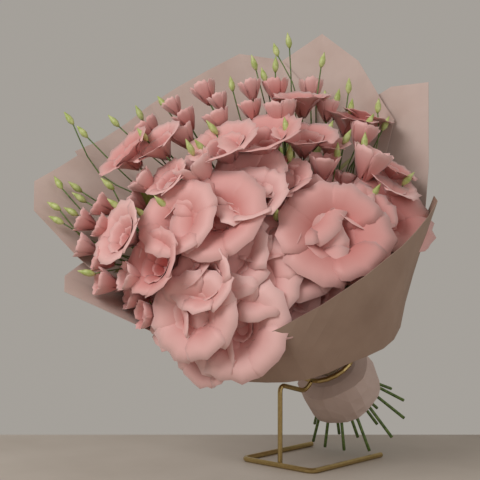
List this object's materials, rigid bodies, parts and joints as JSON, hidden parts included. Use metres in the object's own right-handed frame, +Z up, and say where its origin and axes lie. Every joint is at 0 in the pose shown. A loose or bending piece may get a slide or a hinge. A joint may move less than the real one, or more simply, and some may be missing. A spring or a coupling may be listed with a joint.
{
  "type": "wrapped lisianthus bouquet on stand",
  "caption": "Hand-tied pink lisianthus bouquet in blush and taupe paper, leaning in a brass rod stand.",
  "frame": {"origin": "middle of the footprint at the level the stand rests on", "axes": "+Z up; the bouquet is seen from -Y and leans towards -X and -Y"},
  "size_m": [0.6938, 0.4596, 0.7769],
  "materials": {
    "spray": "satin",
    "blush_paper": "matte",
    "taupe_paper": "matte",
    "tie": "matte",
    "brass": "satin"
  },
  "bodies": {
    "root": {"spray_01": "spray", "spray_02": "spray", "spray_03": "spray", "spray_04": "spray", "spray_05": "spray", "spray_06": "spray", "spray_07": "spray", "spray_08": "spray", "spray_09": "spray", "spray_10": "spray", "spray_11": "spray", "spray_12": "spray", "spray_13": "spray", "spray_14": "spray", "spray_15": "spray", "spray_16": "spray", "spray_17": "spray", "spray_18": "spray", "spray_19": "spray", "stand_base": "brass", "stand_post": "brass", "stand_ring": "brass", "tie_band": "tie", "wrap_front": "taupe_paper", "wrap_left": "blush_paper", "wrap_lower_left": "blush_paper", "wrap_right": "blush_paper", "wrap_skirt": "blush_paper", "wrap_top": "blush_paper", "wrap_upper_left": "blush_paper"}
  },
  "joints": []
}
